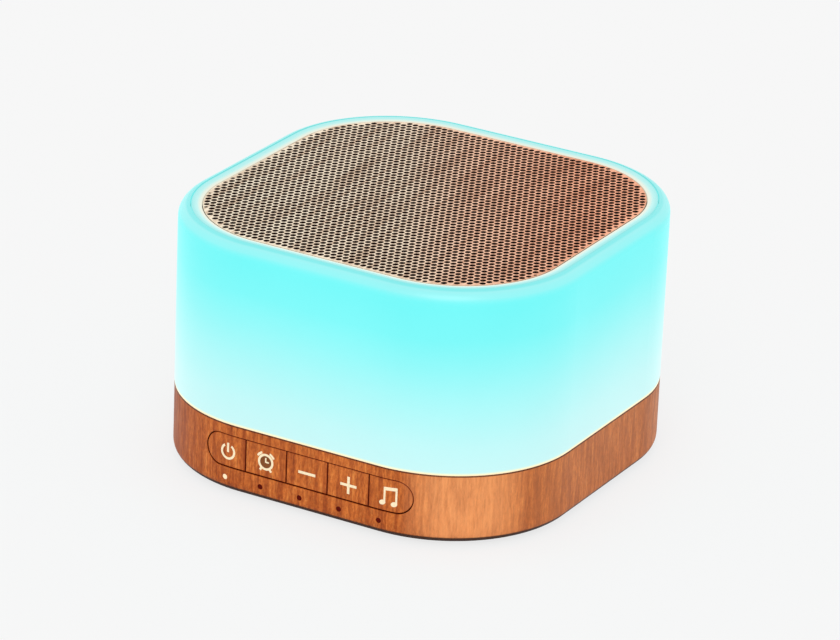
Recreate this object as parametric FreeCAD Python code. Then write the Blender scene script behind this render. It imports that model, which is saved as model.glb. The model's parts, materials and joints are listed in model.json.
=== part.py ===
import FreeCAD, Part
import math
import os

# A bedside sound machine with a night light. A wood-look base carries five push buttons and five
# indicator lights, a translucent shade glows above it, and a perforated grille covers the
# loudspeaker, which faces up. Millimetres, +Z up, front at -Y, origin on the surface it stands on.

# Body outline
body_half = 50.0            # half the width and half the depth
corner_radius = 31.5
base_height = 17.1          # the wood-look band
shade_height = 44.1
foot_drop = 0.8             # how far the feet stand below the base

# Base housing
wall = 2.2
base_floor = 3.0
base_edge_radius = 2.8
seam_chamfer = 0.3
base_top_chamfer = 0.2
flange_width = 10.5         # from the outer face to the bottom opening
rabbet_width = 2.5          # the ledge that the bottom cover seats on
top_step_width = 1.1        # the step that the deck's rim sits in
top_step_depth = 1.0

# Bottom cover and feet
cover_thickness = 1.6
cover_clearance = 0.2
foot_radius = 5.0
foot_thickness = 1.8
foot_edge = 0.4
foot_clearance = 0.1
foot_inset = 20.0           # from the outer faces to each foot's centre and the post above it
cover_boss_radius = 4.2
cover_boss_height = 2.0
screw_seat = 1.2            # plastic left under a cover screw's head

# Deck between base and shade
deck_thickness = 2.0
deck_clearance = 0.2
shade_lip_height = 2.5
shade_lip_width = 1.4
post_radius = 3.5
board_post_radius = 2.5
pod_ring_height = 1.2
pod_ring_width = 1.2
pod_ring_clearance = 0.3

# Screws: radius of the shank, radius and height of the head
big_screw = (1.3, 2.3, 1.4)
small_screw = (1.0, 1.9, 1.2)
screw_bite = 0.25           # how much smaller a pilot hole is than its screw, in radius
screw_slip = 0.2            # how much larger a clearance hole is than its screw, in radius
slot_half_width = 0.35
slot_half_length = 1.3
slot_depth = 0.5

# Button strip: one stadium split into equal keys
button_names = ("power", "timer", "volume_down", "volume_up", "sound")
button_recess = 0.05        # how far the keys' faces lie behind the front face
button_height = 7.8
button_centre_above_base = 10.35
button_gap = 0.25
button_edge = 0.2
button_travel = 0.5
button_depth = 2.5          # cap thickness at the front
cap_flange_gap = 0.15
cap_flange_thickness = 1.0
cap_flange_reach = 0.8
stem_width = 3.2

# Keypad behind the strip
guide_front = 5.8           # from the outer front face to the guide's front
guide_thickness = 1.5
guide_end_gap = 0.57        # between the guide's ends and the wall
guide_half_height = 4.7
stem_window_gap = 0.3
guide_boss_inset = 2.0      # from the guide's ends to its screws
guide_boss_radius = 2.1
guide_boss_gap = 0.45       # between a boss and the key slot
boss_hole_depth = 2.0
switch_width = 6.0
switch_height = 3.3
switch_gap = 0.2            # between a switch and the guide
plunger_radius = 1.6
plunger_stand = 0.9         # how far a switch's plunger stands out of its body
plunger_length = 2.2
plunger_gap = 0.1
key_board_thickness = 1.2
key_board_overhang = 1.0    # how far it reaches past the guide's ends
key_board_low = 3.2         # height of its lower edge above the base's underside
key_board_high = 14.6
key_board_corner = 1.0

# Indicator lights
light_above_base = 3.7
power_light_inset = 5.45    # from the end of the key strip
timer_light_shift = 1.28    # from the middle of the second key to the first timer light
timer_light_drift = 0.43    # how much closer the lights stand than the keys
timer_light_count = 4
light_pipe_radius = 0.65
light_pipe_clearance = 0.02
light_pipe_recess = 0.12
light_rail_height = 1.1
light_rail_depth = 1.0
light_rail_gap = 0.3
led_size = (1.6, 0.7, 0.8)
led_gap = 0.1

# Main board
board_side_gap = 2.5        # to the posts beside it
board_front = -2.0
board_back_gap = 4.5        # from its back edge to the outer back face
board_thickness = 1.6
board_above_cover = 7.6
board_corner = 2.0
board_screw_inset = 3.5     # from the board's side edges
board_screw_front = 8.5     # from the board's front edge
board_screw_back = 7.5      # from the board's back edge
board_screw_length = 4.6

# Parts on the main board: X, distance from its back edge, width, length and height
controller_chip = (-7.0, 30.5, 9.0, 9.0, 1.1)
memory_chip = (-7.0, 17.5, 5.2, 5.2, 1.7)
amplifier_chip = (9.0, 32.5, 4.9, 6.0, 1.5)
charger_chip = (9.0, 15.5, 3.0, 3.0, 0.9)
crystal = (1.2, 24.0, 3.2, 1.5, 0.8)
inductor = (16.0, 21.5, 5.0, 5.0, 2.8)
inductor_corner = 1.4
can_radius = 3.15
can_length = 6.6
can_edge = 0.5
can_x = 11.0
can_gap = 1.0               # between a can and the cell
ribbon_socket_rim = 1.2     # how far a ribbon socket reaches past the ribbon on each side
ribbon_socket_length = 3.0
ribbon_socket_height = 2.0
key_socket_length = 2.0
key_socket_height = 2.4
lead_socket_width = 5.0
lead_socket_length = 4.0
lead_socket_inset = 1.0     # from the board's front edge

# Charging socket
usb_half_width = 4.47
usb_height = 3.16
usb_length = 7.35
usb_shell = 0.3
usb_recess = 1.35           # from the outer back face to the socket's mouth
usb_port_gap = 0.25
port_recess_half_width = 6.3
port_recess_height = 6.4
port_recess_depth = 0.7
usb_tongue = (6.7, 4.9, 0.7)

# Cell under the main board
cell_size = (50.0, 34.0, 5.0)
cell_gap = 0.8              # between the cell and the screw bosses behind it
cell_edge = 1.0
cell_pad = 0.3
cell_pad_inset = 4.0

# Leads
lead_radius = 0.6
lead_spacing = 1.5
lead_stand = 2.0            # how far the leads' X lies outside the basket's base
lead_inset = 5.0            # how far the speaker leads' Y lies inside the basket's base
speaker_lead_bend = 3.5
lead_height = 1.6           # of a lead's centre above the main board
ribbon_half_width = 4.0
ribbon_thickness = 0.3
led_lead_radius = 1.0
led_lead_height = 2.4       # of its centre above the main board

# Light board on the deck
light_board_pod_gap = 0.5   # to the pod's seat ring
light_board_lip_gap = 2.8   # to the deck's lip
light_board_thickness = 1.2
colour_led_count = 12
colour_led_size = (5.0, 5.0, 1.6)
light_board_screws = (0, 90, 270)
light_board_screw_length = 3.0
light_connector_size = (5.0, 9.0, 3.4)
light_socket_size = (4.0, 5.0, 3.6)
light_socket_y = 14.0
connector_window_gap = 0.4

# Loudspeaker pod
pod_radius = 30.2
pod_wall = 1.8
pod_floor = 2.0
pod_gasket_thickness = 0.8
grommet_radius = 2.5
grommet_flange = 1.0
grommet_flange_height = 0.8
grommet_clearance = 0.02

# Baffle frame under the grille
baffle_thickness = 1.2
collar_height = 1.6
collar_width = 2.2
leg_inset = 1.8             # from the light board's inner edge to a leg
leg_angles = (30, 150, 210, 330)
leg_radius = 3.0
leg_clearance = 0.3
leg_screw_length = 10.0
leg_hole_spare = 1.5

# Shade, trim ring and grille
shade_wall = 2.2
shade_edge_radius = 3.2
trim_inset = 2.7            # from the shade's outer face to the ring's seam
trim_gap = 0.2
trim_width = 2.5
trim_thickness = 1.5
trim_drop = 0.1             # how far the ring's ridge lies below the shade's top
trim_slope = 0.35
ledge_width = 2.3           # how far the shade's ledge reaches under the baffle
ledge_thickness = 2.0
cloth_thickness = 0.2
grille_gap = 0.2
grille_thickness = 1.0
grille_edge = 0.4
grille_border = 1.6
grille_hole_radius = 1.5
grille_pitch = 4.8

# Loudspeaker, from the front down
gasket_thickness = 0.6
surround_thickness = 0.4
surround_roll = 1.9         # radius of the half roll
surround_gap = 0.2          # between the roll and what it passes
cone_lip = 1.6              # width of the cone's flat edge
frame_lip = 2.3
frame_thickness = 0.8
ear_gap = 1.5               # between an ear and the pod's wall
ear_radius = 2.3
ear_stand = 1.5             # between an ear's inner side and the surround
ear_angles = (45, 135, 225, 315)
speaker_screw_length = 3.6
basket_depth = 14.6
basket_taper = 1.6          # how much smaller the basket's base is than the cone
basket_step = 2.6           # width of the seat for the spider's rim
basket_slip = 0.2           # between the basket's mouth and the surround's rim
basket_bore_gap = 2.0       # between the coil and the hole in the basket's base
window_margin = 1.5         # above and below the basket's windows
basket_window_angle = 50.0
cone_thickness = 0.5
cone_depth = 10.5
coil_radius = 6.25
coil_wall = 0.2
coil_length = 9.5
winding_length = 5.0
winding_depth = 0.3
magnet_gap = 0.25
dust_cap_radius = 8.0
dust_cap_height = 2.4
spider_thickness = 0.3
spider_wave = 0.5
spider_waves = 3
spider_seat = 1.0           # height of the spider's seat above the basket's base
spider_flat = 1.2           # width of its flat collar round the coil
spider_rim = 1.6            # how far it reaches onto the seat
spider_edge = 0.8           # width of its flat edge inside the seat
winding_low = 0.5           # from the coil's lower end
top_plate_thickness = 2.5
magnet_overhang = 1.0       # how far the magnet reaches past the plates
magnet_inner_radius = 9.0
magnet_thickness = 7.0
back_plate_thickness = 2.5
terminal_size = (9.0, 3.0, 3.0)
terminal_overhang = 1.0     # past the wires
terminal_rise = 2.0         # above the spider's seat

# Heights worked out from the sizes above
base_low = foot_drop
base_high = base_low + base_height
shade_high = base_high + shade_height
cover_high = base_low + cover_thickness
deck_low = base_high - deck_thickness
post_low = cover_high + cover_boss_height
board_low = cover_high + board_above_cover
board_high = board_low + board_thickness
baffle_high = shade_high - trim_drop - trim_thickness
baffle_low = baffle_high - baffle_thickness
cloth_high = baffle_high + cloth_thickness
grille_high = cloth_high + grille_thickness
collar_low = baffle_low - collar_height
frame_high = collar_low - gasket_thickness - surround_thickness
frame_low = frame_high - frame_thickness
basket_low = frame_low - basket_depth
pod_high = baffle_low - pod_gasket_thickness

# Places worked out from the sizes above
corner_centre = body_half - corner_radius
foot_offset = body_half - foot_inset
strip_z = base_low + button_centre_above_base
light_z = base_low + light_above_base
guide_y = -body_half + guide_front
wall_reach = corner_centre + math.sqrt((corner_radius - wall) ** 2 - (guide_y + corner_centre) ** 2)
guide_half_length = wall_reach - guide_end_gap
guide_boss_x = guide_half_length - guide_boss_inset
strip_half_length = guide_boss_x - guide_boss_radius - guide_boss_gap - button_gap
button_pitch = 2 * strip_half_length / len(button_names)
key_board_half_length = guide_half_length + key_board_overhang
power_light_x = power_light_inset - strip_half_length
timer_light_x = -button_pitch - timer_light_shift
timer_light_pitch = button_pitch - timer_light_drift
guide_back_y = guide_y + guide_thickness
switch_y = guide_back_y + switch_gap
key_board_y = switch_y + switch_height
key_board_back_y = key_board_y + key_board_thickness
stem_end_y = switch_y - plunger_stand
ear_circle = pod_radius - pod_wall - ear_gap - ear_radius
surround_outer = ear_circle - ear_radius - ear_stand
roll_outer = surround_outer - surround_thickness / 2 - surround_gap
cone_edge_radius = roll_outer - 2 * surround_roll
basket_base_radius = cone_edge_radius - basket_taper
basket_mouth_radius = surround_outer - basket_slip
magnet_radius = basket_base_radius + magnet_overhang
lead_x = basket_base_radius + lead_stand
speaker_lead_y = lead_inset - basket_base_radius
frame_radius = surround_outer + frame_lip
usb_z = board_high + usb_height / 2
usb_mouth_y = body_half - usb_recess
trim_outer = body_half - trim_inset - trim_gap
trim_inner = trim_outer - trim_width
grille_half = trim_inner - grille_gap
ledge_inner = body_half - shade_wall - ledge_width
board_half_width = foot_offset - post_radius - board_side_gap
board_back = body_half - board_back_gap
board_screw_x = board_half_width - board_screw_inset
board_screw_ys = (board_front + board_screw_front, board_back - board_screw_back)
cell_y = foot_offset - cover_boss_radius - cell_gap - cell_size[1] / 2
light_board_inner = pod_radius + pod_ring_clearance + pod_ring_width + light_board_pod_gap
deck_lip_inset = shade_wall + deck_clearance
light_board_outer = body_half - deck_lip_inset - shade_lip_width - light_board_lip_gap
colour_led_circle = (light_board_inner + light_board_outer) / 2
leg_circle = light_board_inner + leg_radius + leg_inset
lead_z = board_high + lead_height
led_lead_z = board_high + led_lead_height

X_AXIS = FreeCAD.Vector(1, 0, 0)
Y_AXIS = FreeCAD.Vector(0, 1, 0)
Z_AXIS = FreeCAD.Vector(0, 0, 1)


def at(x, y, z):
    return FreeCAD.Vector(x, y, z)


def polar(radius, degrees):
    """X and Y of a point on a circle round the Z axis."""
    angle = math.radians(degrees)
    return radius * math.cos(angle), radius * math.sin(angle)


def square_corners(offset):
    return [(sx * offset, sy * offset) for sx, sy in ((1, 1), (-1, 1), (-1, -1), (1, -1))]


def outline(inset, z):
    """The body's rounded-square outline, drawn in by inset, as a closed wire at height z."""
    radius = corner_radius - inset
    edges = []
    for turn, (x, y) in enumerate(square_corners(corner_centre)):
        edges.append(Part.makeCircle(radius, at(x, y, z), Z_AXIS, 90 * turn, 90 * turn + 90))
    joined = []
    for turn, arc in enumerate(edges):
        joined.append(arc)
        start = arc.valueAt(arc.LastParameter)
        following = edges[(turn + 1) % 4]
        joined.append(Part.makeLine(start, following.valueAt(following.FirstParameter)))
    return Part.Wire(joined)


def slab(inset, low, high):
    """A rounded-square slab of the body's outline, drawn in by inset."""
    return Part.Face(outline(inset, low)).extrude(at(0, 0, high - low))


def ring(outer_inset, inner_inset, low, high):
    return slab(outer_inset, low, high).cut(slab(inner_inset, low, high))


def sloped_slab(low_inset, low, high_inset, high):
    """A rounded-square slab whose sides lean from one inset to another."""
    return Part.makeLoft([outline(low_inset, low), outline(high_inset, high)], True, True)


def disc(radius, low, high, x=0.0, y=0.0):
    return Part.makeCylinder(radius, high - low, at(x, y, low))


def washer(outer, inner, low, high, x=0.0, y=0.0):
    return disc(outer, low, high, x, y).cut(disc(inner, low, high, x, y))


def rod_along_y(radius, x, z, front, back):
    return Part.makeCylinder(radius, back - front, at(x, front, z), Y_AXIS)


def block(low, high):
    """A box between two opposite corners."""
    size = [high[k] - low[k] for k in range(3)]
    return Part.makeBox(*size, at(*low))


def rounded_plate(x_half, y_low, y_high, radius, low, high):
    """A flat plate with rounded corners, centred on X."""
    plate = block((-x_half, y_low, low), (x_half, y_high, high))
    upright = [e for e in plate.Edges if abs(e.tangentAt(e.FirstParameter).z) > 0.5]
    return plate.makeFillet(radius, upright)


def stadium_along_y(half_length, height, z, front, back, x=0.0):
    """A prism along Y whose section is a slot with round ends."""
    radius = height / 2
    flat = half_length - radius
    middle = block((x - flat, front, z - radius), (x + flat, back, z + radius))
    ends = [rod_along_y(radius, x + side * flat, z, front, back) for side in (-1, 1)]
    return middle.fuse(ends).removeSplitter()


def rounded_loop(solid, z, radius):
    """Rounds the level edges of a solid that lie at height z."""
    return solid.makeFillet(radius, level_edges(solid, z))


def chamfered_loop(solid, z, size):
    return solid.makeChamfer(size, level_edges(solid, z))


def level_edges(solid, z):
    box_of = [(e, e.BoundBox) for e in solid.Edges]
    return [e for e, b in box_of if abs(b.ZMin - z) < 1e-6 and abs(b.ZMax - z) < 1e-6]


def revolved(points):
    """A solid of revolution round Z from a closed outline of radius and height pairs."""
    corners = [at(r, 0, z) for r, z in points]
    return Part.Face(Part.makePolygon(corners + corners[:1])).revolve(at(0, 0, 0), Z_AXIS, 360)


def screw(size, length):
    """A slotted screw along +Z: its head's underside is at the origin, its tip at length."""
    shank, head, height = size
    point = shank * 0.6
    body = disc(shank, 0, length - point).fuse(
        Part.makeCone(shank, shank * 0.3, point, at(0, 0, length - point))
    )
    cap = rounded_loop(disc(head, -height, 0), -height, height * 0.4)
    low = (-slot_half_length, -slot_half_width, -height)
    high = (slot_half_length, slot_half_width, slot_depth - height)
    slot = block(low, high)
    cross = slot.copy()
    cross.rotate(at(0, 0, 0), Z_AXIS, 90)
    return body.fuse(cap).removeSplitter().cut([slot, cross])


def placed(shape, x, y, z, axis=None, degrees=0.0):
    """A copy of shape, turned about an axis through its origin and then moved."""
    copy = shape.copy()
    if axis is not None:
        copy.rotate(at(0, 0, 0), axis, degrees)
    copy.translate(at(x, y, z))
    return copy


def pilot(size, low, high, x, y):
    return disc(size[0] - screw_bite, low, high, x, y)


def clearance_hole(size, low, high, x, y):
    return disc(size[0] + screw_slip, low, high, x, y)


def wire_along(edges, radius):
    """A round wire along a path of joined edges, closed at both ends."""
    path = Part.Wire(edges)
    first = edges[0]
    start = first.valueAt(first.FirstParameter)
    direction = first.tangentAt(first.FirstParameter)
    section = Part.Wire(Part.makeCircle(radius, start, direction))
    return path.makePipeShell([section], True, False)


def feet():
    """Four round rubber feet, pushed into pockets in the bottom cover."""
    one = rounded_loop(disc(foot_radius, 0, foot_thickness), 0, foot_edge)
    return [placed(one, x, y, 0) for x, y in square_corners(foot_offset)]


def bottom_cover():
    """Flush plate that closes the base, with foot pockets and screw seats."""
    inset = flange_width - rabbet_width + cover_clearance
    cover = slab(inset, base_low, cover_high)
    for x, y in square_corners(foot_offset):
        cover = cover.fuse(disc(cover_boss_radius, cover_high, post_low, x, y))
    for x, y in square_corners(foot_offset):
        pocket = disc(foot_radius + foot_clearance, base_low, foot_thickness, x, y)
        seat = disc(big_screw[1] + screw_slip, foot_thickness, post_low - screw_seat, x, y)
        hole = clearance_hole(big_screw, base_low, post_low, x, y)
        cover = cover.cut([pocket, seat, hole])
    return cover


def cover_screws():
    one = screw(big_screw, leg_screw_length)
    return [placed(one, x, y, post_low - screw_seat) for x, y in square_corners(foot_offset)]


def base_housing():
    """Wood-look band: an open ring with a bottom flange, a button slot, light holes and a port."""
    body = slab(0, base_low, base_high)
    body = rounded_loop(body, base_low, base_edge_radius)
    body = chamfered_loop(body, base_high, base_top_chamfer)
    body = body.cut(slab(wall, base_low + base_floor, base_high))
    body = body.cut(slab(top_step_width, base_high - top_step_depth, base_high))
    body = body.cut(slab(flange_width, base_low, base_low + base_floor))
    body = body.cut(slab(flange_width - rabbet_width, base_low, cover_high))
    inside = slab(wall / 2, base_low, base_high)
    for side in (-1, 1):
        front = -body_half
        boss = rod_along_y(guide_boss_radius, side * guide_boss_x, strip_z, front, guide_y)
        hole_front = guide_y - boss_hole_depth
        hole = rod_along_y(
            small_screw[0] - screw_bite, side * guide_boss_x, strip_z, hole_front, guide_y
        )
        body = body.fuse(boss.common(inside)).cut(hole)
    body = body.cut(button_slot())
    for x in [power_light_x] + timer_light_xs():
        radius = light_pipe_radius + light_pipe_clearance
        body = body.cut(rod_along_y(radius, x, light_z, -body_half, -body_half + 2 * wall))
    return body.cut([usb_port(), port_recess()]).removeSplitter()


def button_slot():
    """The opening that the five keys share."""
    return stadium_along_y(
        strip_half_length + button_gap,
        button_height + 2 * button_gap,
        strip_z,
        -body_half,
        -body_half + 2 * wall,
    )


def usb_port():
    return stadium_along_y(
        usb_half_width + usb_port_gap,
        usb_height + 2 * usb_port_gap,
        usb_z,
        body_half - 2 * wall,
        body_half,
    )


def port_recess():
    """Shallow pocket that a plug's grip sits in."""
    return stadium_along_y(
        port_recess_half_width, port_recess_height, usb_z, body_half - port_recess_depth, body_half
    )


def timer_light_xs():
    return [timer_light_x + k * timer_light_pitch for k in range(timer_light_count)]


def deck_plate():
    """White frame between base and shade, with the posts that the screws bite in."""
    deck = slab(wall + deck_clearance, deck_low, base_high)
    deck = deck.fuse(
        slab(top_step_width + deck_clearance, base_high - top_step_depth, base_high)
    )
    lip_inner = deck_lip_inset + shade_lip_width
    lip = ring(deck_lip_inset, lip_inner, base_high, base_high + shade_lip_height)
    pod_seat_inner = pod_radius + pod_ring_clearance
    pod_seat = washer(
        pod_seat_inner + pod_ring_width, pod_seat_inner, base_high, base_high + pod_ring_height
    )
    deck = deck.fuse([lip, pod_seat])
    for x, y in square_corners(foot_offset):
        deck = deck.fuse(disc(post_radius, post_low, deck_low, x, y))
        tip = post_low - screw_seat + leg_screw_length + leg_hole_spare
        deck = deck.cut(pilot(big_screw, post_low, tip, x, y))
    for x in (-board_screw_x, board_screw_x):
        for y in board_screw_ys:
            deck = deck.fuse(disc(board_post_radius, board_high, deck_low, x, y))
            deck = deck.cut(pilot(small_screw, board_high, deck_low, x, y))
    for angle in leg_angles:
        x, y = polar(leg_circle, angle)
        deck = deck.cut(clearance_hole(big_screw, deck_low, base_high, x, y))
    for angle in light_board_screws:
        x, y = polar(colour_led_circle, angle)
        tip = base_high + light_board_thickness - light_board_screw_length
        deck = deck.cut(pilot(small_screw, tip, base_high, x, y))
    deck = deck.cut(disc(grommet_radius + screw_slip, deck_low, base_high, lead_x, speaker_lead_y))
    return deck.cut(connector_window()).removeSplitter()


def connector_window():
    """Hole in the deck for the connector under the light board."""
    width, length, _ = light_connector_size
    gap = connector_window_gap
    return block(
        (-colour_led_circle - width / 2 - gap, -length / 2 - gap, deck_low),
        (-colour_led_circle + width / 2 + gap, length / 2 + gap, base_high),
    )


def button_x(index):
    return (index - (len(button_names) - 1) / 2) * button_pitch


def key_outline(index, grow, front, back):
    """One key's share of the strip as a prism along Y. grow widens it above and below."""
    strip = stadium_along_y(
        strip_half_length, button_height + 2 * grow, strip_z, front, back
    )
    if grow:
        flat = strip_half_length - button_height / 2
        tall = strip_z + button_height / 2 + grow
        low = strip_z - button_height / 2 - grow
        strip = block((-flat, front, low), (flat, back, tall))
    last = len(button_names) - 1
    left = button_x(index) - button_pitch / 2 + (button_gap / 2 if index > 0 else 0)
    right = button_x(index) + button_pitch / 2 - (button_gap / 2 if index < last else 0)
    share = block((left, front, base_low), (right, back, base_high))
    return strip.common(share)


def button(index):
    """A key cap that follows the front face, its flange behind the wall and its stem."""
    front = -body_half
    back = guide_y
    face = slab(button_recess, base_low, base_high).cut(slab(button_depth, base_low, base_high))
    cap = key_outline(index, 0, front, back).common(face)
    cap = softened_front(cap)
    flange_inset = wall + cap_flange_gap
    behind = slab(flange_inset, base_low, base_high).cut(
        slab(flange_inset + cap_flange_thickness, base_low, base_high)
    )
    flange = key_outline(index, cap_flange_reach, front, back).common(behind)
    neck = key_outline(index, 0, front, back).common(behind)
    half = stem_width / 2
    x = button_x(index)
    stem = block(
        (x - half, front + button_depth - button_edge, strip_z - half),
        (x + half, stem_end_y, strip_z + half),
    )
    return cap.fuse([neck, flange, stem]).removeSplitter()


def softened_front(cap):
    """Breaks the sharp edge round a cap's front face."""
    flat_y = button_recess - body_half
    outer = [f for f in cap.Faces if abs(f.BoundBox.YMax - flat_y) < 1e-6 or on_outer_corner(f)]
    seen = {}
    for face in outer:
        for edge in face.Edges:
            key = edge.hashCode()
            seen.setdefault(key, []).append(edge)
    rim = [edges[0] for edges in seen.values() if len(edges) == 1]
    return cap.makeChamfer(button_edge, rim)


def on_outer_corner(face):
    """Whether a face is part of the body's outer corner."""
    surface = face.Surface
    if not isinstance(surface, Part.Cylinder):
        return False
    return abs(surface.Axis.z) > 0.5 and abs(surface.Radius + button_recess - corner_radius) < 1e-6


def plunger(index):
    """The moving pin of the switch behind a button."""
    back = stem_end_y + plunger_length
    return rod_along_y(plunger_radius, button_x(index), strip_z, stem_end_y, back)


def button_guide():
    """Bar behind the keys, with a window for each stem and a spacer at each screw."""
    low = strip_z - guide_half_height
    high = strip_z + guide_half_height
    bar = block((-guide_half_length, guide_y, low), (guide_half_length, guide_back_y, high))
    half = stem_width / 2 + stem_window_gap
    for index in range(len(button_names)):
        x = button_x(index)
        bar = bar.cut(
            block((x - half, guide_y, strip_z - half), (x + half, guide_back_y, strip_z + half))
        )
    for side in (-1, 1):
        x = side * guide_boss_x
        bar = bar.fuse(rod_along_y(guide_boss_radius, x, strip_z, guide_y, key_board_y))
        hole = rod_along_y(small_screw[0] + screw_slip, x, strip_z, guide_y, key_board_y)
        bar = bar.cut(hole)
    return bar.removeSplitter()


def tact_switches():
    """Switch bodies with a bore for each plunger."""
    half = switch_width / 2
    bodies = []
    for index in range(len(button_names)):
        x = button_x(index)
        body = block(
            (x - half, switch_y, strip_z - half), (x + half, key_board_y, strip_z + half)
        )
        depth = plunger_length - plunger_stand + button_travel + plunger_gap
        bore = rod_along_y(
            plunger_radius + plunger_gap, x, strip_z, switch_y, switch_y + depth
        )
        bodies.append(body.cut(bore))
    return bodies


def key_board():
    """Upright board that carries the switches and the small lights."""
    low = base_low + key_board_low
    high = base_low + key_board_high
    plate = block(
        (-key_board_half_length, key_board_y, low), (key_board_half_length, key_board_back_y, high)
    )
    along_y = [e for e in plate.Edges if abs(e.tangentAt(e.FirstParameter).y) > 0.5]
    plate = plate.makeFillet(key_board_corner, along_y)
    for side in (-1, 1):
        hole = rod_along_y(
            small_screw[0] + screw_slip,
            side * guide_boss_x,
            strip_z,
            key_board_y,
            key_board_back_y,
        )
        plate = plate.cut(hole)
    return plate


def key_board_screws():
    length = key_board_back_y - guide_y + boss_hole_depth - screw_slip
    one = screw(small_screw, length)
    xs = (-guide_boss_x, guide_boss_x)
    return [placed(one, x, key_board_back_y, strip_z, X_AXIS, 90) for x in xs]


def indicator_leds():
    width, depth, height = led_size
    chips = []
    for x in [power_light_x] + timer_light_xs():
        low = (x - width / 2, key_board_y - depth, light_z - height / 2)
        high = (x + width / 2, key_board_y, light_z + height / 2)
        chips.append(block(low, high))
    return chips


def light_pin(x):
    """A clear pin from the front face to its light, cut to the curve of the front."""
    back = key_board_y - led_size[1] - led_gap
    pin = rod_along_y(light_pipe_radius, x, light_z, -body_half, back)
    return pin.common(slab(light_pipe_recess, base_low, base_high))


def light_collar(x_low, x_high):
    """Rail just behind the wall that stops the pins from sliding out."""
    front = -body_half + wall + light_rail_gap
    half = light_rail_height / 2
    low = (x_low, front, light_z - half)
    high = (x_high, front + light_rail_depth, light_z + half)
    return block(low, high)


def power_light_pipe():
    reach = 2 * light_pipe_radius
    collar = light_collar(power_light_x - reach, power_light_x + reach)
    collar = collar.common(slab(wall + light_rail_gap, base_low, base_high))
    return light_pin(power_light_x).fuse(collar).removeSplitter()


def timer_light_pipes():
    """Four pins on one rail."""
    xs = timer_light_xs()
    reach = 2 * light_pipe_radius
    rail = light_collar(xs[0] - reach, xs[-1] + reach)
    rail = rail.common(slab(wall + light_rail_gap, base_low, base_high))
    return rail.fuse([light_pin(x) for x in xs]).removeSplitter()


def main_board():
    board = rounded_plate(
        board_half_width, board_front, board_back, board_corner, board_low, board_high
    )
    for x in (-board_screw_x, board_screw_x):
        for y in board_screw_ys:
            board = board.cut(clearance_hole(small_screw, board_low, board_high, x, y))
    return board


def main_board_screws():
    one = screw(small_screw, board_screw_length)
    places = [(x, y) for x in (-board_screw_x, board_screw_x) for y in board_screw_ys]
    return [placed(one, x, y, board_low) for x, y in places]


def on_board(x, y, width, length, height):
    """A box-shaped component standing on the main board."""
    low = (x - width / 2, y - length / 2, board_high)
    high = (x + width / 2, y + length / 2, board_high + height)
    return block(low, high)


def from_board_back(package):
    """A component whose place is measured from the board's back edge."""
    x, from_back, width, length, height = package
    return on_board(x, board_back - from_back, width, length, height)


def board_chips():
    """Controller, sound memory, amplifier, charging chip and crystal."""
    packages = (controller_chip, memory_chip, amplifier_chip, charger_chip, crystal)
    return [from_board_back(package) for package in packages]


def board_inductor():
    body = from_board_back(inductor)
    upright = [e for e in body.Edges if abs(e.tangentAt(e.FirstParameter).z) > 0.5]
    return body.makeFillet(inductor_corner, upright)


def filter_capacitors():
    """Two cans that hang under the board behind the cell."""
    y = cell_y + cell_size[1] / 2 + can_gap + 2 * can_radius
    low = board_low - can_length
    can = rounded_loop(disc(can_radius, low, board_low), low, can_edge)
    return [placed(can, x, y, 0) for x in (-can_x, can_x)]


def board_connectors():
    """Sockets for the ribbon, the cell, the loudspeaker and the light board."""
    half = ribbon_half_width + ribbon_socket_rim
    y = board_front + ribbon_socket_length / 2
    main_ribbon = on_board(0, y, 2 * half, ribbon_socket_length, ribbon_socket_height)
    key_ribbon = block(
        (-half, key_board_back_y, ribbon_z() - key_socket_height / 2),
        (half, key_board_back_y + key_socket_length, ribbon_z() + key_socket_height / 2),
    )
    y = board_front + lead_socket_inset + lead_socket_length / 2
    size = (lead_socket_width, lead_socket_length, 2 * lead_height)
    two_way = [on_board(side * lead_x, y, *size) for side in (-1, 1)]
    return [main_ribbon, key_ribbon] + two_way + [light_lead_socket(), light_board_connector()]


def light_lead_socket():
    """Socket on the main board where the light board's lead plugs in."""
    width, length, height = light_socket_size
    return on_board(-board_half_width + width / 2, light_socket_y, width, length, height)


def light_board_connector():
    """Connector that hangs from the light board through the deck's window."""
    width, length, height = light_connector_size
    low = (-colour_led_circle - width / 2, -length / 2, base_high - height)
    return block(low, (low[0] + width, length / 2, base_high))


def ribbon_z():
    return board_high + ribbon_socket_height / 2


def key_ribbon():
    """Flat cable between the key board and the main board."""
    half = ribbon_thickness / 2
    return block(
        (-ribbon_half_width, key_board_back_y + key_socket_length, ribbon_z() - half),
        (ribbon_half_width, board_front, ribbon_z() + half),
    )


def usb_socket():
    """Metal shell of the charging socket, open at its mouth."""
    front = usb_mouth_y - usb_length
    shell = stadium_along_y(usb_half_width, usb_height, usb_z, front, usb_mouth_y)
    hollow = stadium_along_y(
        usb_half_width - usb_shell,
        usb_height - 2 * usb_shell,
        usb_z,
        front + usb_shell,
        usb_mouth_y,
    )
    return shell.cut(hollow)


def usb_tongue_piece():
    width, length, height = usb_tongue
    back_wall = usb_mouth_y - usb_length + usb_shell
    low = (-width / 2, back_wall, usb_z - height / 2)
    return block(low, (width / 2, back_wall + length, usb_z + height / 2))


def battery_cell():
    width, length, height = cell_size
    low = cover_high + cell_pad
    cell = block(
        (-width / 2, cell_y - length / 2, low), (width / 2, cell_y + length / 2, low + height)
    )
    return cell.makeFillet(cell_edge, cell.Edges)


def battery_pad():
    width, length, _ = cell_size
    inset = cell_pad_inset
    return block(
        (-width / 2 + inset, cell_y - length / 2 + inset, cover_high),
        (width / 2 - inset, cell_y + length / 2 - inset, cover_high + cell_pad),
    )


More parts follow.
